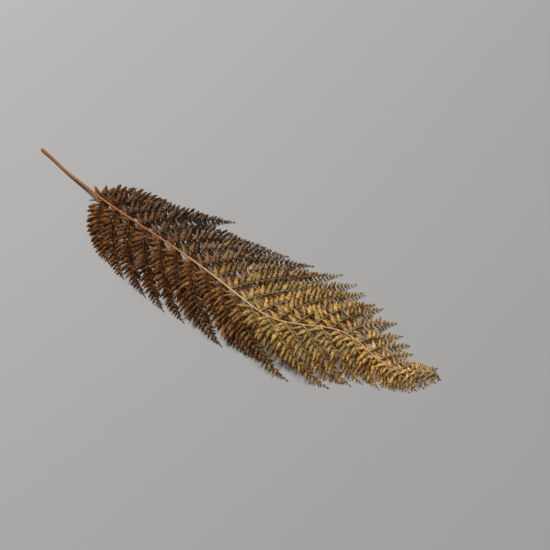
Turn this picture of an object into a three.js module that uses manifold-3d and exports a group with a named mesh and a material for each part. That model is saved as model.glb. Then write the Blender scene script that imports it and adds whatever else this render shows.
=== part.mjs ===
// A dried fern frond that has been picked and lies face up on a flat surface, in millimetres, +Z up.
// A bare stipe (the stalk) runs on as the rachis (the rib of the leaf) along +X. Two rows of arched pinnae
// grow from the rachis and droop until their tips touch the surface, and each pinna is cut almost to its
// own rib into leaflets. The frond grew as one piece, so it is one solid.
import * as THREE from 'three';
import { mergeVertices } from 'three/addons/utils/BufferGeometryUtils.js';
import Module from 'manifold-3d';

const FROND_COLOUR = 0x8c6237;
const SEED = 640; // of the small irregularities

// Driving dimensions of the stalk
const CUT_RADIUS = 1.9; // at the cut end
const BLADE_RADIUS = 1.6; // where the leaf begins
const TIP_RADIUS = 0.55; // where the rachis ends
const BARE_LENGTH = 116; // of the stipe, up to the first pinna
const STALK_SIDES = 6;
const STALK_STEPS = 40;

// Driving dimensions of the pinnae
const LONGEST_PINNA = 131; // shorter pinnae have smaller and more crowded leaflets
const WIDEST_GAP = 26; // between neighbours along the rachis, at the foot of the blade
const NARROWEST_GAP = 10;
// The two rows. Side is 1 for the row on the left, seen from above. First is how far the row starts from the
// foot of the blade, as a share of the widest gap. Lie says how the pinnae lie at some shares of the blade:
// [share, angle in degrees from +X at which a pinna sets off, how far it turns tipward along its length, its
// length].
const LEFT_ROW = {
  side: 1,
  first: 0,
  lie: [
    [0, 50, 28, 92], [0.22, 54, 28, 120], [0.38, 53, 18, 130], [0.47, 53, 8, 131], [0.56, 61, 12, 126],
    [0.64, 78, 26, 106], [0.72, 82, 30, 80], [0.82, 66, 26, 54], [0.9, 66, 20, 32], [1, 84, 14, 8],
  ],
};
const RIGHT_ROW = {
  side: -1,
  first: 0.42,
  lie: [
    [0, 61, 34, 92], [0.2, 59, 42, 122], [0.32, 57, 50, 126], [0.46, 48, 52, 122], [0.54, 39, 52, 114],
    [0.61, 33, 40, 102], [0.68, 30, 22, 88], [0.78, 35, 18, 70], [0.88, 27, 20, 44], [1, 4, 4, 8],
  ],
};
const RISE = THREE.MathUtils.degToRad(7); // of a pinna's rib where it leaves the rachis
const OVERREACH = 3.2; // how far a pinna's tip would hang below the surface that it is pressed flat against
const STEEPEST = 0.32; // drop of a pinna as a share of its length
const ROLL = THREE.MathUtils.degToRad(19); // each pinna's tipward edge is tucked under the next
const RIB_STEPS = 24;
// How far each measure of a pinna strays: two in degrees, one in radians, the rest as a share of the measure
const STRAY = { angle: 3.5, sweep: 7, rise: 0.05, length: 0.05, overreach: 0.8, roll: 0.25 };

// Driving dimensions of the leaflets, which are larger and fewer than life
const LEAFLET_REACH = 12.6; // from the pinna's rib to the leaflet's tip, at most
const LEAFLET_PITCH = 14.2; // along the pinna, at most
const LEAFLET_LEAN = 0.62; // how far a leaflet's tip leans forward, as a share of its reach
const SHOULDER_LEAN = 0.58; // where a leaflet's footward edge turns to its tip, as a share of its lean
const SHOULDER_REACH = 0.62; // and of its reach
const LEAFLET_DROOP = THREE.MathUtils.degToRad(12);
const RIB_HALF_WIDTH = 1.5;
const RIB_TAPER = 0.55; // share of the half width that is lost along the pinna
const BLADE_THICKNESS = 0.8;
const RIB_THICKNESS = 1.5;
const BARE_FOOT = 2.5; // of a pinna, hidden in the rachis

// The line of the rachis from the cut end to the tip: [along, across, height]
const RACHIS_LINE = [
  [-291, 0, 1.5], [-268, -4.5, 1.5], [-240, -11, 2.2], [-205.5, -17.5, 5], [-161.5, -26, 10],
  [-106.5, -33.5, 15.5], [-43.5, -40, 19.5], [20.5, -47.5, 21], [68.5, -54.5, 20.5], [97, -57, 19.5],
  [119, -53.5, 18.5], [143.5, -41.5, 17], [163.5, -29.5, 15.5], [181.5, -22.5, 14], [202, -22, 12],
  [222.5, -26, 10], [243, -27, 8], [261, -21, 6.5], [276.5, -11, 5.5], [288.5, -2, 4],
];

// What brings the middle of the frond's box to the origin
const SHIFT = new THREE.Vector3(-2.087, 28.689, 0);

const rachis = new THREE.CatmullRomCurve3(
  RACHIS_LINE.map(([x, y, z]) => new THREE.Vector3(x, y, z)), false, 'centripetal');
rachis.arcLengthDivisions = 600;
const RACHIS_LENGTH = rachis.getLength();
const BLADE_LENGTH = RACHIS_LENGTH - BARE_LENGTH;
const UP = new THREE.Vector3(0, 0, 1);

// A fixed number from -1 to 1 for the n-th thing of a kind, in place of a random draw.
function wobble(n, kind) {
  const x = Math.sin(n * 12.9898 + (kind + SEED) * 78.233) * 43758.5453;
  return 2 * (x - Math.floor(x)) - 1;
}

// Share of the blade, from 0 at its foot to 1 at its tip, to distance along the rachis.
const alongAt = (share) => BARE_LENGTH + share * BLADE_LENGTH;

function stalkRadius(along) {
  if (along < BARE_LENGTH) return THREE.MathUtils.lerp(CUT_RADIUS, BLADE_RADIUS, along / BARE_LENGTH);
  return THREE.MathUtils.lerp(BLADE_RADIUS, TIP_RADIUS, (along - BARE_LENGTH) / BLADE_LENGTH);
}

// Centre, direction and level sideways vector of the rachis at a distance from the cut end.
function rachisFrame(along) {
  const u = THREE.MathUtils.clamp(along / RACHIS_LENGTH, 0, 1);
  const centre = rachis.getPointAt(u);
  const forward = rachis.getTangentAt(u);
  const left = new THREE.Vector3().crossVectors(UP, forward).normalize();
  return { centre, forward, left, over: new THREE.Vector3().crossVectors(forward, left) };
}

// Moves what would sink into the surface up onto it, by the lower of the two faces.
function restOnSurface(lower, upper) {
  const lift = Math.max(0, -lower.z);
  lower.z += lift;
  upper.z += lift;
}

// The stalk is a cylinder that is bent along the rachis and tapered.
function stalkGeometry() {
  const geometry = new THREE.CylinderGeometry(1, 1, 1, STALK_SIDES, STALK_STEPS);
  geometry.rotateY(Math.PI / STALK_SIDES);
  const position = geometry.getAttribute('position');
  for (let i = 0; i < position.count; i++) {
    const along = (position.getY(i) + 0.5) * RACHIS_LENGTH;
    const { centre, left, over } = rachisFrame(along);
    const radius = stalkRadius(along);
    centre.addScaledVector(left, position.getX(i) * radius).addScaledVector(over, -position.getZ(i) * radius);
    position.setXYZ(i, centre.x, centre.y, Math.max(0, centre.z));
  }
  return geometry;
}

// Angle, sweep and length of a row's pinna at a share of the blade.
function pinnaLie(share, row) {
  const next = row.lie.findIndex(([at]) => share < at);
  const [start, ...before] = row.lie[next - 1];
  const [end, ...after] = row.lie[next];
  return before.map((value, i) => THREE.MathUtils.lerp(value, after[i], (share - start) / (end - start)));
}

// Distance from one pinna of a row to the next.
function gapAt(share) {
  return Math.max(NARROWEST_GAP, WIDEST_GAP * (1 - share ** 2.2) ** 0.5);
}

// Where the pinnae of one row start, as shares of the blade.
function pinnaShares(row) {
  const shares = [];
  let share = row.first * WIDEST_GAP / BLADE_LENGTH;
  while (share < 1) {
    shares.push(share);
    share += gapAt(share) / BLADE_LENGTH;
  }
  return shares;
}

// The rib of a pinna: its centre, across (the sideways vector that points tipward) and over, step by step.
function pinnaRib(share, row, number) {
  const foot = rachisFrame(alongAt(share));
  const lie = pinnaLie(share, row);
  const angle = lie[0] + STRAY.angle * wobble(number, 2);
  const sweep = lie[1] + STRAY.sweep * wobble(number, 6);
  const length = lie[2] * (1 + STRAY.length * wobble(number, 1));
  const rise = RISE + STRAY.rise * wobble(number, 3);
  const hang = foot.centre.z + OVERREACH * (1 + STRAY.overreach * wobble(number, 4));
  const drop = Math.min(hang, STEEPEST * length);
  const roll = ROLL * (1 + STRAY.roll * wobble(number, 5));
  // The rib bends down most near its foot: at a share x of its length, a share 1 - (1 - x) ** 3 of the slope's
  // fall is done. That is 3/4 on average, so this fall ends the rib a drop below its foot.
  const fall = 4 / 3 * (rise + drop / length);
  const centre = foot.centre.clone();
  const rib = [];
  for (let i = 0; i <= RIB_STEPS; i++) {
    const x = i / RIB_STEPS;
    const heading = row.side * THREE.MathUtils.degToRad(angle - sweep * x);
    const slope = rise - fall * (1 - (1 - x) ** 3);
    const forward = new THREE.Vector3(
      Math.cos(heading) * Math.cos(slope), Math.sin(heading) * Math.cos(slope), Math.sin(slope));
    const across = new THREE.Vector3(Math.sin(heading), -Math.cos(heading), 0).multiplyScalar(row.side);
    const over = new THREE.Vector3().crossVectors(across, forward).multiplyScalar(row.side);
    rib.push({
      centre: centre.clone(),
      across: across.clone().applyAxisAngle(forward, row.side * roll),
      over: over.clone().applyAxisAngle(forward, row.side * roll),
    });
    centre.addScaledVector(forward, length / RIB_STEPS);
  }
  return { rib, length };
}

// A point of a pinna: distance along the rib, across it and over it.
function onPinna({ rib, length }, along, across, over) {
  const at = Math.max(0, along / length * RIB_STEPS);
  const i = Math.min(RIB_STEPS - 1, Math.floor(at));
  const blend = (key) => rib[i][key].clone().lerp(rib[i + 1][key], at - i);
  const down = Math.abs(across) * Math.sin(LEAFLET_DROOP);
  return blend('centre')
    .addScaledVector(blend('across'), across * Math.cos(LEAFLET_DROOP))
    .addScaledVector(blend('over'), over - down);
}

// The shoulder and the tip of a leaflet whose foot starts at a distance along the pinna.
function leafletPoints(foot, pitch, reach, ribWidth, length, sign) {
  const lean = LEAFLET_LEAN * reach;
  const shoulder = [
    foot + SHOULDER_LEAN * lean - 0.05 * pitch,
    sign * (SHOULDER_REACH * reach + (1 - SHOULDER_REACH) * ribWidth),
  ];
  const tip = [Math.min(foot + 0.5 * pitch + lean, length), sign * reach];
  return [shoulder, tip];
}

// The sheet of a pinna: points as [along, across] and the triangles between them, cut into leaflets.
function pinnaSheet(length) {
  const bare = Math.min(BARE_FOOT, 0.2 * length);
  const crowding = 1 + 0.35 * (1 - length / LONGEST_PINNA);
  const pairs = Math.max(1, Math.round((length - bare) / LEAFLET_PITCH * crowding));
  const pitch = (length - bare) / (pairs + 0.4);
  const longest = Math.min(LEAFLET_REACH, LEAFLET_REACH * (0.4 + 0.9 * length / LONGEST_PINNA));
  const points = [[0, 0]];
  const triangles = [];
  let rib = 0;
  let notches = [0, 0];
  for (let pair = 0; pair <= pairs; pair++) {
    const along = bare + pair * pitch;
    const ribWidth = RIB_HALF_WIDTH * (1 - RIB_TAPER * along / length) * Math.min(1, length / 60 + 0.4);
    const reach = longest * (1 - ((along - pitch / 2) / length) ** 3) ** 0.85;
    const next = points.length;
    points.push([along, 0], [along, ribWidth], [along, -ribWidth]);
    notches.forEach((notch, row) => {
      const sign = row ? -1 : 1;
      const nextNotch = next + 1 + row;
      const pieces = [[rib, next, nextNotch]];
      if (pair > 0) {
        const shoulder = points.length;
        points.push(...leafletPoints(along - pitch, pitch, reach, ribWidth, length, sign));
        pieces.push([rib, nextNotch, notch], [notch, nextNotch, shoulder], [shoulder, nextNotch, shoulder + 1]);
      }
      for (const [a, b, c] of pieces) triangles.push(sign > 0 ? [a, b, c] : [a, c, b]);
    });
    rib = next;
    notches = [next + 1, next + 2];
  }
  const end = points.length;
  points.push([length, 0]);
  triangles.push([rib, end, notches[0]], [rib, notches[1], end]);
  return { points, triangles };
}

// A closed plate between two faces that have the same triangles, with a rim along their open edges.
function plateGeometry(upper, lower, triangles, mirrored) {
  const count = upper.length;
  const rim = new Map();
  for (const triangle of triangles) {
    triangle.forEach((a, i) => {
      const b = triangle[(i + 1) % 3];
      if (!rim.delete(b + ' ' + a)) rim.set(a + ' ' + b, [a, b]);
    });
  }
  const faces = triangles.flatMap(([a, b, c]) => [[a, b, c], [a + count, c + count, b + count]]);
  for (const [a, b] of rim.values()) faces.push([a, a + count, b + count], [a, b + count, b]);
  const turned = mirrored ? faces : faces.map(([a, b, c]) => [a, c, b]);
  return new THREE.BufferGeometry().setFromPoints([...upper, ...lower]).setIndex(turned.flat());
}

// A pinna as one closed thin plate, with its rib raised a little on the upper face.
function pinnaGeometry(share, row, number) {
  const pinna = pinnaRib(share, row, number);
  const { points, triangles } = pinnaSheet(pinna.length);
  const upper = [];
  const lower = [];
  for (const [along, across] of points) {
    const top = onPinna(pinna, along, across, (across === 0 ? RIB_THICKNESS : BLADE_THICKNESS) / 2);
    const bottom = onPinna(pinna, along, across, -BLADE_THICKNESS / 2);
    restOnSurface(bottom, top);
    upper.push(top);
    lower.push(bottom);
  }
  return plateGeometry(upper, lower, triangles, row.side < 0);
}

const wasm = await Module();
wasm.setup();

// A closed geometry as a solid that can be joined to others.
function solidOf(geometry) {
  geometry.deleteAttribute('normal');
  geometry.deleteAttribute('uv');
  const merged = mergeVertices(geometry, 1e-4);
  return new wasm.Manifold(new wasm.Mesh({
    numProp: 3,
    vertProperties: merged.getAttribute('position').array,
    triVerts: new Uint32Array(merged.index.array),
  }));
}

// The whole frond as one solid.
function frondGeometry() {
  const solids = [solidOf(stalkGeometry())];
  let number = 0;
  for (const row of [LEFT_ROW, RIGHT_ROW]) {
    for (const share of pinnaShares(row)) {
      number += 1;
      solids.push(solidOf(pinnaGeometry(share, row, number)));
    }
  }
  const bodies = wasm.Manifold.union(solids).simplify(0.01).decompose();
  const frond = bodies.sort((a, b) => b.volume() - a.volume())[0].translate(SHIFT.toArray());
  const mesh = frond.getMesh();
  return new THREE.BufferGeometry()
    .setAttribute('position', new THREE.BufferAttribute(mesh.vertProperties, 3))
    .setIndex(new THREE.BufferAttribute(mesh.triVerts, 1));
}

const frond = new THREE.Mesh(
  frondGeometry(),
  new THREE.MeshStandardMaterial({ color: FROND_COLOUR, roughness: 0.85, metalness: 0 }),
);
frond.name = 'frond';
const group = new THREE.Group();
group.add(frond);
export default group;
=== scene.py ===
# A dried fern frond, picked and laid face up on a pale floor. It is worked out in millimetres, along the same
# lines as its solid: a stalk that bends over along +X, and two rows of drooping pinnae, each with its own rib
# and a row of small curled leaflets on each side. The finished pieces are in metres.
import bisect
import math
import random

import bmesh
import bpy
from mathutils import Matrix, Vector
from mathutils.geometry import interpolate_bezier


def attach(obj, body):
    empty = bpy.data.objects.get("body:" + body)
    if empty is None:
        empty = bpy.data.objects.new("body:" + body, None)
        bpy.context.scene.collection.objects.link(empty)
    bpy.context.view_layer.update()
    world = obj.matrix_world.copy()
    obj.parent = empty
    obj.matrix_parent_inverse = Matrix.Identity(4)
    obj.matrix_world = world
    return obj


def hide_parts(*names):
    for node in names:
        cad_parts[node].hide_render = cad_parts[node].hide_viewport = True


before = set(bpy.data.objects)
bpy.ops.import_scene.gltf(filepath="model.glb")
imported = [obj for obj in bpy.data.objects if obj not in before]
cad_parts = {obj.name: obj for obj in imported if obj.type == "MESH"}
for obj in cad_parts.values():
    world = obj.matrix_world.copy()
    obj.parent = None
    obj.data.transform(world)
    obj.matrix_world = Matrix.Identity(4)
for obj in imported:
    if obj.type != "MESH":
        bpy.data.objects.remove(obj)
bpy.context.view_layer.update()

UP = Vector((0, 0, 1))
MILLIMETRE = 0.001
SHIFT = Vector((-2.087, 28.689, 0))  # brings the middle of the frond's box to the origin
SEED = 640  # of the small irregularities that the solid has too

# The camera: its place in metres and degrees, its lens and sensor in millimetres
CAMERA_AIM = Vector((0.06407, 0.03745, 0))
CAMERA_DISTANCE = 1.5
CAMERA_AZIMUTH = 36.36
CAMERA_ELEVATION = 50
FOCAL_LENGTH = 85
SENSOR_WIDTH = 36

# The stalk
CUT_RADIUS = 1.9
BLADE_RADIUS = 1.6  # where the leaf begins
TIP_RADIUS = 0.55
BARE_LENGTH = 116  # of the stalk, up to the first pinna
STALK_SIDES = 16
STALK_RINGS = 300
CURVE_STEPS = 40  # between two points of the rachis line
RACHIS_LINE = [
    (-291, 0, 1.5), (-268, -4.5, 1.5), (-240, -11, 2.2), (-205.5, -17.5, 5), (-161.5, -26, 10),
    (-106.5, -33.5, 15.5), (-43.5, -40, 19.5), (20.5, -47.5, 21), (68.5, -54.5, 20.5), (97, -57, 19.5),
    (119, -53.5, 18.5), (143.5, -41.5, 17), (163.5, -29.5, 15.5), (181.5, -22.5, 14), (202, -22, 12),
    (222.5, -26, 10), (243, -27, 8), (261, -21, 6.5), (276.5, -11, 5.5), (288.5, -2, 4),
]
FOOT_SWELLING = 0.22  # how much thicker the stalk is at a pinna's foot, as a share of its radius
SWELLING_REACH = 2.4  # along the stalk
GROOVE_DEPTH = 0.17  # of the groove along the upper side, as a share of the radius

# The two rows of pinnae. Side is 1 for the row on the left, seen from above, and first is how far from the
# foot of the blade the row starts, as a share of the widest gap. Lie says how the pinnae lie at some shares
# of the blade: the share, the angle in degrees from +X at which they set off, how far they turn tipward along
# their length, and their length.
WIDEST_GAP = 26
NARROWEST_GAP = 10
LEFT_ROW = dict(name="left", side=1, first=0, lie=[
    (0, 50, 28, 92), (0.22, 54, 28, 120), (0.38, 53, 18, 130), (0.47, 53, 8, 131), (0.56, 61, 12, 126),
    (0.64, 78, 26, 106), (0.72, 82, 30, 80), (0.82, 66, 26, 54), (0.9, 66, 20, 32), (1, 84, 14, 8),
])
RIGHT_ROW = dict(name="right", side=-1, first=0.42, lie=[
    (0, 61, 34, 92), (0.2, 59, 42, 122), (0.32, 57, 50, 126), (0.46, 48, 52, 122), (0.54, 39, 52, 114),
    (0.61, 33, 40, 102), (0.68, 30, 22, 88), (0.78, 35, 18, 70), (0.88, 27, 20, 44), (1, 4, 4, 8),
])
RISE = math.radians(7)  # of a pinna's rib where it leaves the rachis
OVERREACH = 3.2  # how far a pinna's tip would hang below the floor that it is pressed flat against
STEEPEST = 0.32  # drop of a pinna as a share of its length
ROLL = math.radians(19)  # each pinna's tipward edge is tucked under the next
# How far each measure of a pinna strays: two in degrees, one in radians, the rest as a share of the measure
STRAY = dict(angle=3.5, sweep=7, rise=0.05, length=0.05, overreach=0.8, roll=0.25)
RIB_STEPS = 24
RIB_SIDES = 6
RIB_RING_GAP = 5
RIB_RADIUS = 0.52
RIB_TIP_RADIUS = 0.17
RIB_FLARE = 0.6  # how much thicker a rib is where it joins the rachis
RIB_FLARE_REACH = 3
REST_HEIGHT = 0.9  # of a pinna's rib where it lies on the floor
FLOOR_EASE = 1.1  # how gradually a rib comes down to that height
RIB_CLEARANCE = 0.02  # between a rib's underside and the floor

# The leaflets: how they grow along a pinna
LEAFLET_REACH = 12.6  # across the pinna, at most
SHORTEST_REACH = 0.4  # of the leaflets of the smallest pinnae, as a share of the reach at most
FULL_REACH_LENGTH = 84  # pinnae of at least this length have leaflets of full reach
LEAFLET_OVERLAP = 1.3  # length of a leaflet as a share of its reach, so that neighbouring pinnae overlap
LEAFLET_PITCH = 6.4
NARROWEST_PITCH = 2.6
BARE_FOOT = 2  # of a pinna, below its first leaflets
BARE_TIP = 1.2  # beyond its last pair
LAST_LEAFLET_FOOT = 1  # of the leaflet at a pinna's end, from that end
LEAFLET_LIFT = 0.25  # of a leaflet's foot above the middle of the rib
LEAFLET_LEAN = 55  # degrees between a leaflet and its pinna's rib
TIP_LEAN = 14  # less at the pinna's tip
AXIL_LEAN = 50  # more at the foot of a pinna, where the leaflets on the footward side fill the axil
AXIL_REACH = 7
LEAFLET_DROOP = 12
LEAFLET_TILT = 9  # about a leaflet's own length, so that the leaflets overlap like tiles
LEAFLET_STRAY = dict(lean=5, droop=6, tilt=9)  # in degrees
PINNA_TONE_STRAY = 0.25
LEAFLET_TONE_STRAY = 0.45

# The leaflets: their shape. Where nothing else is said, a measure is a share of the leaflet's length.
LEAFLET_KINDS = 7
LEAFLET_SIDES = 6
LARGE_LEAFLET_RINGS = 12
SMALL_LEAFLET_RINGS = 4
SMALL_LEAFLET = 6.5  # leaflets up to this length in millimetres have fewer rings
SMALL_LEAFLET_WIDENING = 0.06
RINGS_TO_A_LOBE = 3
WIDEST_AT = 0.3
FOOT_WIDTH = 0.78  # as a share of the widest
NOTCH_DEPTH = 0.22  # between two lobes, as a share of the width there
HALF_THICKNESS = 0.011
VALLEY_DEPTH = 0.035  # how far the middle of a leaflet is sunken at its foot
EDGE_LEAD = 0.02  # how far its edges run ahead of its middle
UPPER_FACE_HEIGHT = 0.26  # in millimetres, where the leaflet lies flat on the floor

# Patterns in the finishes, in cells a metre
PATCHES = 38
OLIVE_PATCHES = 60
MOTTLE = 420
PITH_CELLS = 2400
GRAIN = 2600

VEINS = 8  # along each side of a leaflet
VEIN_SLANT = 1.3  # how many veins further on a vein ends at the edge
FLOOR_HALF_WIDTH = 4  # in metres


def place_camera():
    """The camera that looks at the frond as the photograph does."""
    lens = bpy.data.cameras.new("camera")
    lens.lens = FOCAL_LENGTH
    lens.sensor_width = SENSOR_WIDTH
    camera = bpy.data.objects.new("camera", lens)
    bpy.context.collection.objects.link(camera)
    azimuth = math.radians(CAMERA_AZIMUTH)
    elevation = math.radians(CAMERA_ELEVATION)
    away = Vector((math.sin(azimuth) * math.cos(elevation), -math.cos(azimuth) * math.cos(elevation),
                   math.sin(elevation)))
    camera.location = CAMERA_AIM + CAMERA_DISTANCE * away
    camera.rotation_euler = away.to_track_quat("Z", "Y").to_euler()
    bpy.context.scene.camera = camera


place_camera()


# Finishes

class Finish:
    """A material and short calls that add its nodes."""

    def __init__(self, name):
        self.material = bpy.data.materials.new(name)
        self.material.use_nodes = True
        self.tree = self.material.node_tree
        self.shader = self.tree.nodes["Principled BSDF"]

    def feed(self, socket, source):
        if isinstance(source, bpy.types.NodeSocket):
            self.tree.links.new(source, socket)
        else:
            socket.default_value = source

    def attribute(self, name, output="Fac"):
        node = self.tree.nodes.new("ShaderNodeAttribute")
        node.attribute_name = name
        return node.outputs[output]

    def place(self):
        return self.tree.nodes.new("ShaderNodeTexCoord").outputs["Object"]

    def sums(self, operation, first, second=0.0, third=0.0):
        node = self.tree.nodes.new("ShaderNodeMath")
        node.operation = operation
        for socket, source in zip(node.inputs, (first, second, third)):
            self.feed(socket, source)
        return node.outputs[0]

    def total(self, first, second):
        return self.sums("ADD", first, second)

    def product(self, first, second):
        return self.sums("MULTIPLY", first, second)

    def line(self, value, slope, start):
        """Start where value is 0, and slope more where it is 1."""
        return self.sums("MULTIPLY_ADD", value, slope, start)

    def between(self, value, low, high, start=0.0, end=1.0):
        """A smooth step from start to end as value goes from low to high."""
        node = self.tree.nodes.new("ShaderNodeMapRange")
        node.interpolation_type = "SMOOTHSTEP"
        for name, source in (("Value", value), ("From Min", low), ("From Max", high),
                             ("To Min", start), ("To Max", end)):
            self.feed(node.inputs[name], source)
        return node.outputs["Result"]

    def noise(self, where, scale, detail):
        node = self.tree.nodes.new("ShaderNodeTexNoise")
        self.feed(node.inputs["Vector"], where)
        node.inputs["Scale"].default_value = scale
        node.inputs["Detail"].default_value = detail
        node.inputs["Roughness"].default_value = 0.55
        return node.outputs["Fac"]

    def blend(self, share, first, second):
        """From the first colour to the second as share goes from 0 to 1."""
        node = self.tree.nodes.new("ShaderNodeMix")
        node.data_type = "RGBA"
        self.feed(node.inputs["Factor"], share)
        for name, source in (("A", first), ("B", second)):
            colour = (*source, 1) if isinstance(source, tuple) else source
            self.feed(self.colour_socket(node.inputs, name), colour)
        return self.colour_socket(node.outputs, "Result")

    @staticmethod
    def colour_socket(sockets, name):
        return next(socket for socket in sockets if socket.name == name and socket.type == "RGBA")

    def scaled(self, colour, by):
        node = self.tree.nodes.new("ShaderNodeVectorMath")
        node.operation = "SCALE"
        self.feed(node.inputs[0], colour)
        self.feed(node.inputs["Scale"], by)
        return node.outputs[0]

    def stretched(self, vector, by):
        node = self.tree.nodes.new("ShaderNodeVectorMath")
        node.operation = "MULTIPLY"
        self.feed(node.inputs[0], vector)
        node.inputs[1].default_value = by
        return node.outputs[0]

    def bump(self, height, distance, strength):
        node = self.tree.nodes.new("ShaderNodeBump")
        self.feed(node.inputs["Height"], height)
        node.inputs["Distance"].default_value = distance
        node.inputs["Strength"].default_value = strength
        self.feed(self.shader.inputs["Normal"], node.outputs["Normal"])


def leaf_tissue(leaf, mottle, gold, along):
    """The colour between the veins: brown, or grey where a sheen is painted on, and straw where the leaf has
    dried golden, with patches that are still olive and leaflet tips that are scorched."""
    brown = leaf.blend(mottle, (0.072, 0.028, 0.007), (0.34, 0.132, 0.034))
    # Painted sheen: a grey tint that stands in for the glint on the glossier leaflets.
    painted_sheen = leaf.blend(mottle, (0.10, 0.062, 0.040), (0.36, 0.24, 0.16))
    straw = leaf.blend(mottle, (0.28, 0.142, 0.038), (0.84, 0.50, 0.172))
    olive = leaf.blend(mottle, (0.17, 0.130, 0.036), (0.52, 0.40, 0.140))
    scorch = (0.42, 0.19, 0.050)
    olive_patches = leaf.between(leaf.noise(leaf.place(), OLIVE_PATCHES, 3), 0.42, 0.64)
    tips = leaf.between(along, 0.45, 1.0)
    # Where the attribute says so, the painted grey sheen takes the place of the brown.
    tissue = leaf.blend(leaf.attribute("painted_sheen"), brown, painted_sheen)
    tissue = leaf.blend(gold, tissue, straw)
    tissue = leaf.blend(leaf.product(olive_patches, leaf.product(gold, 0.7)), tissue, olive)
    return leaf.blend(leaf.product(tips, leaf.product(gold, 0.6)), tissue, scorch)


def leaf_veins(leaf, along, across):
    """The midrib of a leaflet and the veins that fan out from it to the edges, 1 on a vein and 0 off it."""
    midrib = leaf.between(across, 0.03, 0.13, 1, 0)
    fan = leaf.sums("SUBTRACT", leaf.product(along, VEINS), leaf.product(across, VEIN_SLANT))
    veins = leaf.between(leaf.sums("PINGPONG", fan, 0.5), 0.0, 0.16, 1, 0)
    veins = leaf.product(veins, leaf.between(across, 0.75, 1.0, 1, 0))
    return leaf.sums("MAXIMUM", midrib, veins)


def dry_leaf():
    """Dry leaf tissue and the thin ribs in it. The leaflets' own attributes say how golden and how light each
    one has dried, how much grey sheen is painted on it, and where a point lies on its leaflet. Painted shade
    darkens the leaflets' edges and feet."""
    leaf = Finish("dry_leaf")
    along = leaf.attribute("along")
    across = leaf.sums("ABSOLUTE", leaf.attribute("across"))
    patches = leaf.noise(leaf.place(), PATCHES, 2)
    mottle = leaf.between(leaf.noise(leaf.place(), MOTTLE, 4), 0.3, 0.7)
    grain = leaf.noise(leaf.place(), GRAIN, 3)
    gold = leaf.between(leaf.total(leaf.attribute("gold"), leaf.line(patches, 0.6, -0.3)), 0.02, 0.85)
    veins = leaf_veins(leaf, along, across)

    tissue = leaf_tissue(leaf, mottle, gold, along)
    paler_veins = leaf.line(veins, 0.4, 1.0)
    # Darker edges: partly the dried margins' own darker colour, partly painted shade in the slits between
    # leaflets.
    margins_and_painted_shade = leaf.line(leaf.between(across, 0.55, 0.95), -0.85, 1.06)
    # Darker foot, by the rib: painted shade where the leaflets crowd together.
    painted_shade_at_foot = leaf.between(along, 0.0, 0.3, 0.45, 1)
    paler_underside = leaf.line(leaf.attribute("under"), 0.2, 1.0)
    own_tone = leaf.line(leaf.attribute("tone"), 0.30, 1.0)
    for shade in (paler_veins, margins_and_painted_shade, painted_shade_at_foot, paler_underside, own_tone):
        tissue = leaf.scaled(tissue, shade)
    stem = leaf.blend(gold, (0.16, 0.065, 0.028), (0.70, 0.46, 0.20))
    stem = leaf.scaled(stem, leaf.line(grain, 0.8, 0.6))
    leaf.feed(leaf.shader.inputs["Base Color"], leaf.blend(leaf.attribute("rib"), tissue, stem))

    # Where the grey sheen is painted, the leaf is also made a little glossier.
    sheen = leaf.product(leaf.attribute("painted_sheen"), 0.12)
    leaf.feed(leaf.shader.inputs["Roughness"], leaf.sums("SUBTRACT", leaf.line(mottle, 0.2, 0.7), sheen))
    leaf.shader.inputs["Specular IOR Level"].default_value = 0.05
    relief = leaf.total(leaf.product(mottle, 0.9), leaf.product(grain, 0.5))
    leaf.bump(leaf.total(leaf.product(veins, -0.55), relief), 0.00022, 0.8)
    return leaf.material


def dry_stalk():
    """The smooth orange-tan stalk, streaked along its length, paler towards its tip, partly its own colour
    and partly a painted highlight, with pith at the cut.
    """
    stalk = Finish("dry_stalk")
    wrap = stalk.attribute("wrap", "Vector")  # along the stalk, and round it
    share = stalk.attribute("share")

    def drawn_out(lengthwise, around, detail):
        """Noise that changes more slowly along the stalk than round it."""
        return stalk.noise(stalk.stretched(wrap, (lengthwise, around, around)), 1.0, detail)

    streaks = drawn_out(0.05, 3.2, 4)
    fibres = drawn_out(0.16, 11.0, 2)
    marks = drawn_out(0.35, 0.8, 3)
    foot = stalk.blend(streaks, (0.26, 0.082, 0.025), (0.62, 0.22, 0.080))
    # The pale tip colour is partly the rachis's own colour and partly a painted highlight along it.
    tip = stalk.blend(streaks, (0.82, 0.49, 0.21), (1.0, 0.72, 0.36))
    bark = stalk.blend(stalk.between(share, 0.33, 0.62), foot, tip)
    bark = stalk.blend(stalk.between(marks, 0.60, 0.74, 0, 0.6), bark, (0.22, 0.075, 0.03))
    bark = stalk.scaled(bark, stalk.line(fibres, 0.5, 0.75))
    pith = stalk.blend(stalk.noise(stalk.place(), PITH_CELLS, 2), (0.30, 0.17, 0.08), (0.72, 0.52, 0.30))
    cut = stalk.between(stalk.attribute("cut"), 0.2, 0.8)
    stalk.feed(stalk.shader.inputs["Base Color"], stalk.blend(cut, bark, pith))
    stalk.feed(stalk.shader.inputs["Roughness"], stalk.line(fibres, 0.25, 0.42))
    stalk.feed(stalk.shader.inputs["Specular IOR Level"], stalk.between(share, 0.4, 0.65, 0.15, 0.5))
    stalk.bump(stalk.total(fibres, stalk.product(streaks, 0.8)), 0.00012, 0.7)
    return stalk.material


def pale_floor():
    floor = Finish("pale_floor")
    floor.shader.inputs["Base Color"].default_value = (0.52, 0.52, 0.52, 1)
    floor.shader.inputs["Roughness"].default_value = 0.75
    return floor.material


# The lines that the frond grows along

def smooth_step(value, low, high):
    share = min(1, max(0, (value - low) / (high - low)))
    return share * share * (3 - 2 * share)


def mix(a, b, share):
    return a + (b - a) * share


def wobble(n, kind):
    """A fixed number from -1 to 1 for the n-th thing of a kind."""
    x = math.sin(n * 12.9898 + (kind + SEED) * 78.233) * 43758.5453
    return 2 * (x - math.floor(x)) - 1


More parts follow.
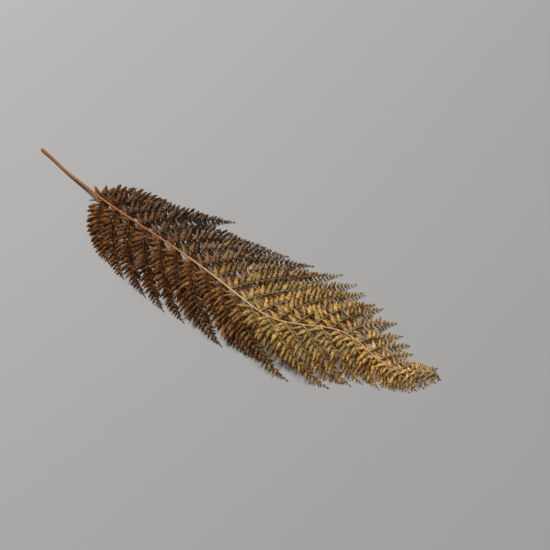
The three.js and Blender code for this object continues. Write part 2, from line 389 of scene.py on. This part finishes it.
def rachis_points():
    """The centripetal curve through the rachis line's points, as a fine line of points."""
    knots = [Vector(knot) for knot in RACHIS_LINE]
    knots = [2 * knots[0] - knots[1], *knots, 2 * knots[-1] - knots[-2]]
    points = []
    for before, start, end, after in zip(knots, knots[1:], knots[2:], knots[3:]):
        d0, d1, d2 = (math.sqrt((b - a).length) for a, b in ((before, start), (start, end), (end, after)))
        leave = end - start + d1 * ((start - before) / d0 - (end - before) / (d0 + d1))
        arrive = end - start + d1 * ((after - end) / d2 - (after - start) / (d1 + d2))
        curve = interpolate_bezier(start, start + leave / 3, end - arrive / 3, end, CURVE_STEPS + 1)
        points += curve[:-1]
    return points + [knots[-2]]


rachis = rachis_points()
rachis_lengths = [0.0]
for start, end in zip(rachis, rachis[1:]):
    rachis_lengths.append(rachis_lengths[-1] + (end - start).length)
RACHIS_LENGTH = rachis_lengths[-1]
BLADE_LENGTH = RACHIS_LENGTH - BARE_LENGTH


def rachis_centre(along):
    along = min(RACHIS_LENGTH, max(0, along))
    i = min(len(rachis) - 2, max(0, bisect.bisect_right(rachis_lengths, along) - 1))
    share = (along - rachis_lengths[i]) / (rachis_lengths[i + 1] - rachis_lengths[i])
    return rachis[i].lerp(rachis[i + 1], share)


def rachis_frame(along):
    """Centre, left and over at a distance from the cut end."""
    forward = (rachis_centre(along + 0.5) - rachis_centre(along - 0.5)).normalized()
    left = UP.cross(forward).normalized()
    return rachis_centre(along), left, forward.cross(left)


def pinna_lie(share, row):
    """Angle, sweep and length of a row's pinna at a share of the blade."""
    for (start, *first), (end, *last) in zip(row["lie"], row["lie"][1:]):
        if share <= end:
            return [mix(a, b, (share - start) / (end - start)) for a, b in zip(first, last)]


def pinna_shares(row):
    """Where the pinnae of a row start, as shares of the blade."""
    shares = []
    share = row["first"] * WIDEST_GAP / BLADE_LENGTH
    while share < 1:
        shares.append(share)
        share += max(NARROWEST_GAP, WIDEST_GAP * (1 - share ** 2.2) ** 0.5) / BLADE_LENGTH
    return shares


def above_floor(height):
    """Height of a pinna's rib, eased to lie on the floor where it would pass through it."""
    over = (height - REST_HEIGHT) / FLOOR_EASE
    return REST_HEIGHT + FLOOR_EASE * math.log1p(math.exp(over))


class Pinna:
    """The rib of one pinna: its length and its frames, evenly spaced."""

    def __init__(self, row, share, number):
        self.row, self.share, self.number = row, share, number
        side = row["side"]
        foot = rachis_centre(BARE_LENGTH + share * BLADE_LENGTH)
        angle, sweep, length = pinna_lie(share, row)
        angle += STRAY["angle"] * wobble(number, 2)
        sweep += STRAY["sweep"] * wobble(number, 6)
        length *= 1 + STRAY["length"] * wobble(number, 1)
        rise = RISE + STRAY["rise"] * wobble(number, 3)
        hang = foot.z + OVERREACH * (1 + STRAY["overreach"] * wobble(number, 4))
        drop = min(hang, STEEPEST * length)
        # The rib bends down most near its foot: at a share x of its length, a share 1 - (1 - x) ** 3 of the
        # slope's fall is done. That is 3/4 on average, so this fall ends the rib a drop below its foot.
        fall = 4 / 3 * (rise + drop / length)
        self.length = length
        self.roll = side * ROLL * (1 + STRAY["roll"] * wobble(number, 5))
        self.centres, self.across = [], []
        centre = foot.copy()
        for i in range(RIB_STEPS + 1):
            heading = side * math.radians(angle - sweep * i / RIB_STEPS)
            slope = rise - fall * (1 - (1 - i / RIB_STEPS) ** 3)
            self.centres.append(Vector((centre.x, centre.y, above_floor(centre.z))))
            self.across.append(side * Vector((math.sin(heading), -math.cos(heading), 0)))
            centre += length / RIB_STEPS * Vector(
                (math.cos(heading) * math.cos(slope), math.sin(heading) * math.cos(slope), math.sin(slope)))

    def step_at(self, along):
        """The rib's step that a distance along it lies in, and how far into that step it is."""
        at = min(RIB_STEPS, max(0, along / self.length * RIB_STEPS))
        i = min(RIB_STEPS - 1, int(at))
        return i, at - i

    def centre(self, along):
        i, into = self.step_at(along)
        return self.centres[i].lerp(self.centres[i + 1], into)

    def frame(self, along):
        """Centre, forward, tipward and over at a distance along the rib."""
        half_step = self.length / RIB_STEPS / 2
        forward = (self.centre(along + half_step) - self.centre(along - half_step)).normalized()
        i, into = self.step_at(along)
        across = self.across[i].lerp(self.across[i + 1], into)
        across = (across - across.project(forward)).normalized()
        over = across.cross(forward) * self.row["side"]
        turn = Matrix.Rotation(self.roll, 3, forward)
        return self.centre(along), forward, turn @ across, turn @ over

    def reach(self, along):
        """From the rib to the tip of a leaflet. It shrinks towards the pinna's tip, and on short pinnae."""
        longest = LEAFLET_REACH * mix(SHORTEST_REACH, 1, min(1, self.length / FULL_REACH_LENGTH))
        return longest * max(0.06, 1 - (along / self.length) ** 3) ** 0.85

    def radius(self, along):
        """Of the rib, which is slender on short pinnae."""
        slenderness = min(1, self.length / 70 + 0.45)
        flare = RIB_FLARE * math.exp(-along / RIB_FLARE_REACH)
        return mix(RIB_RADIUS, RIB_TIP_RADIUS, along / self.length) * slenderness + flare


# Shapes

def rod(sides, rings):
    """An upright rod of radius 1 from height 0 to 1, cut into rings. The stalk, the ribs and the leaflets are
    bent from it."""
    shape = bmesh.new()
    bmesh.ops.create_cone(shape, cap_ends=True, cap_tris=False, segments=sides, radius1=1, radius2=1, depth=1)
    bmesh.ops.translate(shape, verts=shape.verts, vec=(0, 0, 0.5))
    lengthwise = [edge for edge in shape.edges if abs(edge.verts[0].co.z - edge.verts[1].co.z) > 0.5]
    bmesh.ops.subdivide_edges(shape, edges=lengthwise, cuts=rings - 1)
    for face in shape.faces:
        face.smooth = True
    return shape


def keep(shape, name):
    """The shape as a mesh of that name."""
    mesh = bpy.data.meshes.new(name)
    shape.to_mesh(mesh)
    shape.free()
    return mesh


def finish_piece(shape, name, material):
    """Moves a shape from millimetres to its place in the frame and makes it a piece of the frond."""
    bmesh.ops.translate(shape, verts=shape.verts, vec=SHIFT)
    bmesh.ops.scale(shape, verts=shape.verts, vec=(MILLIMETRE,) * 3)
    mesh = keep(shape, name)
    mesh.materials.append(material)
    piece = bpy.data.objects.new(name, mesh)
    bpy.context.collection.objects.link(piece)
    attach(piece, "root")
    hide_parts("frond")


def half_width(share, lobes, slim):
    """Half a leaflet's width at a share of its length. Slim is that half where the leaflet is widest."""
    if share < WIDEST_AT:
        body = mix(FOOT_WIDTH, 1, math.sin(math.pi / 2 * share / WIDEST_AT))
    else:
        body = 1 - ((share - WIDEST_AT) / (1 - WIDEST_AT)) ** 2.6
    lobe = abs(math.sin(math.pi * (lobes * share + 0.15)))
    return slim * max(0.05, body) * mix(1 - NOTCH_DEPTH, 1, lobe)


def leaflet_middle(rings, curl):
    """The line along the middle of a leaflet, bent down by curl: the place and the slope of each ring."""
    place, slope, middle = Vector(), 0, []
    for ring in range(1, rings + 2):
        middle.append((place.copy(), slope))
        slope = curl * (ring / rings) ** 1.6
        place += Vector((math.cos(slope), 0, -math.sin(slope))) / rings
    return middle


def leaflet_shape(name, rings, curl, arch, twist, wave, slim, phase):
    """One leaflet of length 1 along +X, face up: a rod pressed thin, its tip bent down by curl, its edges
    rolled under by arch, and its blade twisted and waved."""
    shape = rod(LEAFLET_SIDES, rings)
    along = shape.verts.layers.float.new("along")
    across = shape.verts.layers.float.new("across")
    under = shape.verts.layers.float.new("under")
    middle = leaflet_middle(rings, curl)
    for vert in shape.verts:
        share, sideways, face = vert.co.z, vert.co.x, vert.co.y
        half = half_width(share, rings / RINGS_TO_A_LOBE, slim)
        bend = arch * sideways * (1 + 0.35 * math.sin(5 * share + phase))
        width = half * math.sin(bend) / arch
        height = half * (math.cos(bend) - 1) / arch
        height += wave * half * sideways ** 2 * math.sin(9 * share + phase)
        height += HALF_THICKNESS * face * (1 - 0.4 * share)
        height -= VALLEY_DEPTH * (1 - abs(sideways)) * (1 - share)
        turn = twist * share
        width, height = (width * math.cos(turn) - height * math.sin(turn),
                         width * math.sin(turn) + height * math.cos(turn))
        place, slope = middle[round(share * rings)]
        lead = EDGE_LEAD * abs(sideways)
        vert[along], vert[across], vert[under] = share, sideways, 0.5 - 0.5 * face
        vert.co = place + Vector((height * math.sin(slope) + lead, width, height * math.cos(slope)))
    return keep(shape, name)


def leaflet_shapes():
    """The kinds of leaflet: large ones with several lobes, and small, broader ones with hardly any."""
    draw = random.Random(7)
    large, small = [], []
    for i in range(LEAFLET_KINDS):
        manner = dict(curl=draw.uniform(-0.1, 0.7), arch=draw.uniform(0.3, 0.95),
                      twist=draw.uniform(-0.5, 0.5), wave=draw.uniform(0.05, 0.25),
                      slim=draw.uniform(0.24, 0.265), phase=draw.uniform(0, 6))
        large.append(leaflet_shape(f"leaflet_{i}", LARGE_LEAFLET_RINGS, **manner))
        manner["slim"] += SMALL_LEAFLET_WIDENING
        small.append(leaflet_shape(f"small_leaflet_{i}", SMALL_LEAFLET_RINGS, **manner))
    return large, small


def rib_shape(pinna):
    """The rib of a pinna, tapered, from inside the rachis to the pinna's tip."""
    shape = rod(RIB_SIDES, max(6, round(pinna.length / RIB_RING_GAP)))
    rib = shape.verts.layers.float.new("rib")
    for vert in shape.verts:
        along = vert.co.z * pinna.length
        centre, forward, _, over = pinna.frame(along)
        vert[rib] = 1
        vert.co = centre + pinna.radius(along) * (vert.co.x * over.cross(forward) + vert.co.y * over)
        vert.co.z = max(vert.co.z, RIB_CLEARANCE)
    return keep(shape, "rib")


def leaflet_turn(pinna, along, sign, length, draw):
    """Where one leaflet of a pinna grows and how it lies, as a matrix. Sign is 1 on the tipward side."""
    centre, forward, across, over = pinna.frame(along)
    axil = AXIL_LEAN * math.exp(-along / AXIL_REACH) if sign < 0 else 0
    lean = LEAFLET_LEAN - TIP_LEAN * (along / pinna.length) ** 2 + axil
    lean = math.radians(lean + draw.gauss(0, LEAFLET_STRAY["lean"]))
    droop = math.radians(LEAFLET_DROOP + draw.gauss(0, LEAFLET_STRAY["droop"]))
    tilt = math.radians(draw.gauss(0, LEAFLET_STRAY["tilt"]) - sign * pinna.row["side"] * LEAFLET_TILT)
    way = math.cos(lean) * forward + math.sin(lean) * sign * across
    way = math.cos(droop) * way - math.sin(droop) * over
    up = (over - over.project(way)).normalized()
    up.rotate(Matrix.Rotation(tilt, 3, way))
    sideways = up.cross(way)
    width = length * draw.uniform(0.9, 1.1)
    turn = Matrix((way * length, sideways * width, up * length)).transposed().to_4x4()
    turn.translation = centre + LEAFLET_LIFT * over
    return turn


def last_leaflet_turn(pinna, along):
    """Where the leaflet at the end of a pinna grows, in line with the rib, as a matrix."""
    centre, forward, _, over = pinna.frame(along)
    length = 1.6 * pinna.reach(along) + 1.5
    turn = Matrix((forward * length, over.cross(forward) * length, over * length)).transposed().to_4x4()
    turn.translation = centre
    return turn


def leaflets_along(pinna):
    """The feet of a pinna's pairs of leaflets, as distances along its rib."""
    along = min(BARE_FOOT, 0.2 * pinna.length)
    while along < pinna.length - BARE_TIP:
        yield along
        along += max(NARROWEST_PITCH, LEAFLET_PITCH * (pinna.reach(along) / LEAFLET_REACH) ** 0.4)


def drying(pinna, along):
    """How golden a leaflet has dried and how much grey sheen is painted on it, each from 0 to 1. Gold spreads
    down from the frond's tip, and reaches the ends of the right row's pinnae last. The painted grey sheen
    lies on the lower half of the left row."""
    share, out = pinna.share, along / pinna.length
    if pinna.row["side"] > 0:
        # How much grey sheen is painted on this leaflet.
        painted_sheen = mix(0.4, 1, smooth_step(out, 0.1, 0.5)) * mix(0.4, 1, smooth_step(share, 0, 0.12))
        return 0.9 * smooth_step(share, 0.2, 0.7), painted_sheen * (1 - smooth_step(share, 0.4, 0.7))
    brown_end = 0.45 * smooth_step(out, 0.55, 1) * (1 - smooth_step(share, 0.55, 0.8))
    return 0.96 * smooth_step(share, 0.38, 0.68) * (1 - brown_end), 0.1


def lightness(share):
    """How much lighter than usual the leaflets are at a share of the blade. They are darkest at its foot."""
    return 0.9 * smooth_step(share, 0.05, 0.4) + 1.5 * smooth_step(share, 0.62, 0.95) - 0.5


def add_rib(body, pinna):
    """Adds its rib to the body of a pinna, as golden as the pinna is at its foot."""
    rib = rib_shape(pinna)
    body.from_mesh(rib)
    bpy.data.meshes.remove(rib)
    gold = drying(pinna, 0)[0]
    gold_layer = body.verts.layers.float["gold"]
    for vert in body.verts:
        vert[gold_layer] = gold


def add_leaflet(body, mesh, turn, tone, dried):
    """Adds one leaflet to the body of a pinna, kept above the floor."""
    first = len(body.verts)
    body.from_mesh(mesh)
    body.verts.ensure_lookup_table()
    verts = body.verts[first:]
    bmesh.ops.transform(body, matrix=turn, verts=verts)
    tone_layer, gold_layer, painted_sheen_layer, under = (
        body.verts.layers.float[name] for name in ("tone", "gold", "painted_sheen", "under"))
    for vert in verts:
        vert[tone_layer] = tone
        # How golden the leaflet has dried, and how much grey sheen is painted on it.
        vert[gold_layer], vert[painted_sheen_layer] = dried
        vert.co.z = max(vert.co.z, UPPER_FACE_HEIGHT * (1 - vert[under]))


def make_pinna(pinna, name, large, small, material):
    """The piece of one pinna: its rib, its pairs of leaflets and one more at its end."""
    draw = random.Random(1000 + pinna.number)
    body = bmesh.new()
    for layer in ("along", "across", "under", "tone", "gold", "painted_sheen", "rib"):
        body.verts.layers.float.new(layer)
    pinna_tone = draw.gauss(0, PINNA_TONE_STRAY)
    add_rib(body, pinna)
    for along in leaflets_along(pinna):
        for sign in (1, -1):
            length = LEAFLET_OVERLAP * pinna.reach(along) * draw.uniform(0.93, 1.07)
            mesh = draw.choice(large if length > SMALL_LEAFLET else small)
            turn = leaflet_turn(pinna, along, sign, length, draw)
            tone = max(-1, min(1, pinna_tone + draw.gauss(0, LEAFLET_TONE_STRAY))) + lightness(pinna.share)
            add_leaflet(body, mesh, turn, tone, drying(pinna, along))
    end = pinna.length - LAST_LEAFLET_FOOT
    add_leaflet(body, small[0], last_leaflet_turn(pinna, end), pinna_tone, drying(pinna, end))
    finish_piece(body, name, material)


def stalk_radius(along, around, feet):
    """Of the stalk at a distance from its cut end, with faint ridges, a swelling at each pinna's foot and a
    groove along the upper side."""
    if along < BARE_LENGTH:
        radius = mix(CUT_RADIUS, BLADE_RADIUS, along / BARE_LENGTH)
    else:
        radius = mix(BLADE_RADIUS, TIP_RADIUS, (along - BARE_LENGTH) / BLADE_LENGTH)
    ridges = 0.025 * math.sin(7 * around + along / 30) + 0.02 * math.sin(along / 9)
    swelling = FOOT_SWELLING * max(math.exp(-((along - foot) / SWELLING_REACH) ** 2) for foot in feet)
    groove = GROOVE_DEPTH * max(0, math.sin(around)) ** 6 * smooth_step(along, 10, 60)
    return radius * (1 + ridges) * (1 + swelling) * (1 - groove)


def make_stalk(material, feet):
    """Stalk and rachis in one. At the cut, a rim of bark lies round the sunken pith."""
    shape = rod(STALK_SIDES, STALK_RINGS)
    wrap = shape.verts.layers.float_vector.new("wrap")
    share = shape.verts.layers.float.new("share")
    cut = shape.verts.layers.float.new("cut")
    for vert in shape.verts:
        along = vert.co.z * RACHIS_LENGTH
        x, y = vert.co.x, vert.co.y
        centre, left, over = rachis_frame(along)
        radius = stalk_radius(along, math.atan2(y, x), feet)
        centre.z = max(centre.z, radius)
        vert[wrap] = (along, BLADE_RADIUS * x, BLADE_RADIUS * y)
        vert[share] = vert.co.z
        vert.co = centre + radius * (x * left + y * over)
    shape.normal_update()
    caps = [face for face in shape.faces if len(face.verts) == STALK_SIDES]
    cut_end = min(caps, key=lambda face: face.calc_center_median().x)
    for thickness, depth in ((0.35, 0.0), (0.25, -0.25), (0.5, -0.1)):
        bmesh.ops.inset_individual(shape, faces=[cut_end], thickness=thickness, depth=depth)
        for vert in cut_end.verts:
            vert[cut] = 1
    finish_piece(shape, "stalk", material)


def make_frond():
    leaf_material = dry_leaf()
    large, small = leaflet_shapes()
    feet = []
    for row in (LEFT_ROW, RIGHT_ROW):
        for place, share in enumerate(pinna_shares(row), 1):
            feet.append(BARE_LENGTH + share * BLADE_LENGTH)
            pinna = Pinna(row, share, number=len(feet))
            make_pinna(pinna, f"pinna_{row['name']}_{place:02d}", large, small, leaf_material)
    for mesh in large + small:
        bpy.data.meshes.remove(mesh)
    make_stalk(dry_stalk(), feet)


# Floor and light

def lay_floor():
    shape = bmesh.new()
    bmesh.ops.create_grid(shape, x_segments=1, y_segments=1, size=FLOOR_HALF_WIDTH)
    mesh = keep(shape, "floor")
    mesh.materials.append(pale_floor())
    floor = bpy.data.objects.new("floor", mesh)
    bpy.context.collection.objects.link(floor)


def hang_light(name, place, size, power, colour):
    """A square soft light that looks at the middle of the frond."""
    light = bpy.data.lights.new(name, "AREA")
    light.size = size
    light.energy = power
    light.color = colour
    lamp = bpy.data.objects.new(name, light)
    lamp.location = place
    lamp.rotation_euler = Vector(place).to_track_quat("Z", "Y").to_euler()
    bpy.context.collection.objects.link(lamp)


def light_scene():
    """A large window beyond the foot of the frond, and faint light from the ceiling and the room."""
    hang_light("window", place=(-4.2, 1.0, 4.2), size=1.8, power=345, colour=(1.0, 0.985, 0.96))
    hang_light("ceiling", place=(-0.4, -0.3, 3.2), size=2.6, power=6, colour=(1.0, 1.0, 1.0))
    world = bpy.data.worlds.new("room")
    world.use_nodes = True
    background = world.node_tree.nodes["Background"]
    background.inputs["Color"].default_value = (1, 1, 1, 1)
    background.inputs["Strength"].default_value = 0.06
    bpy.context.scene.world = world
    bpy.context.scene.view_settings.view_transform = "Standard"


make_frond()
lay_floor()
light_scene()
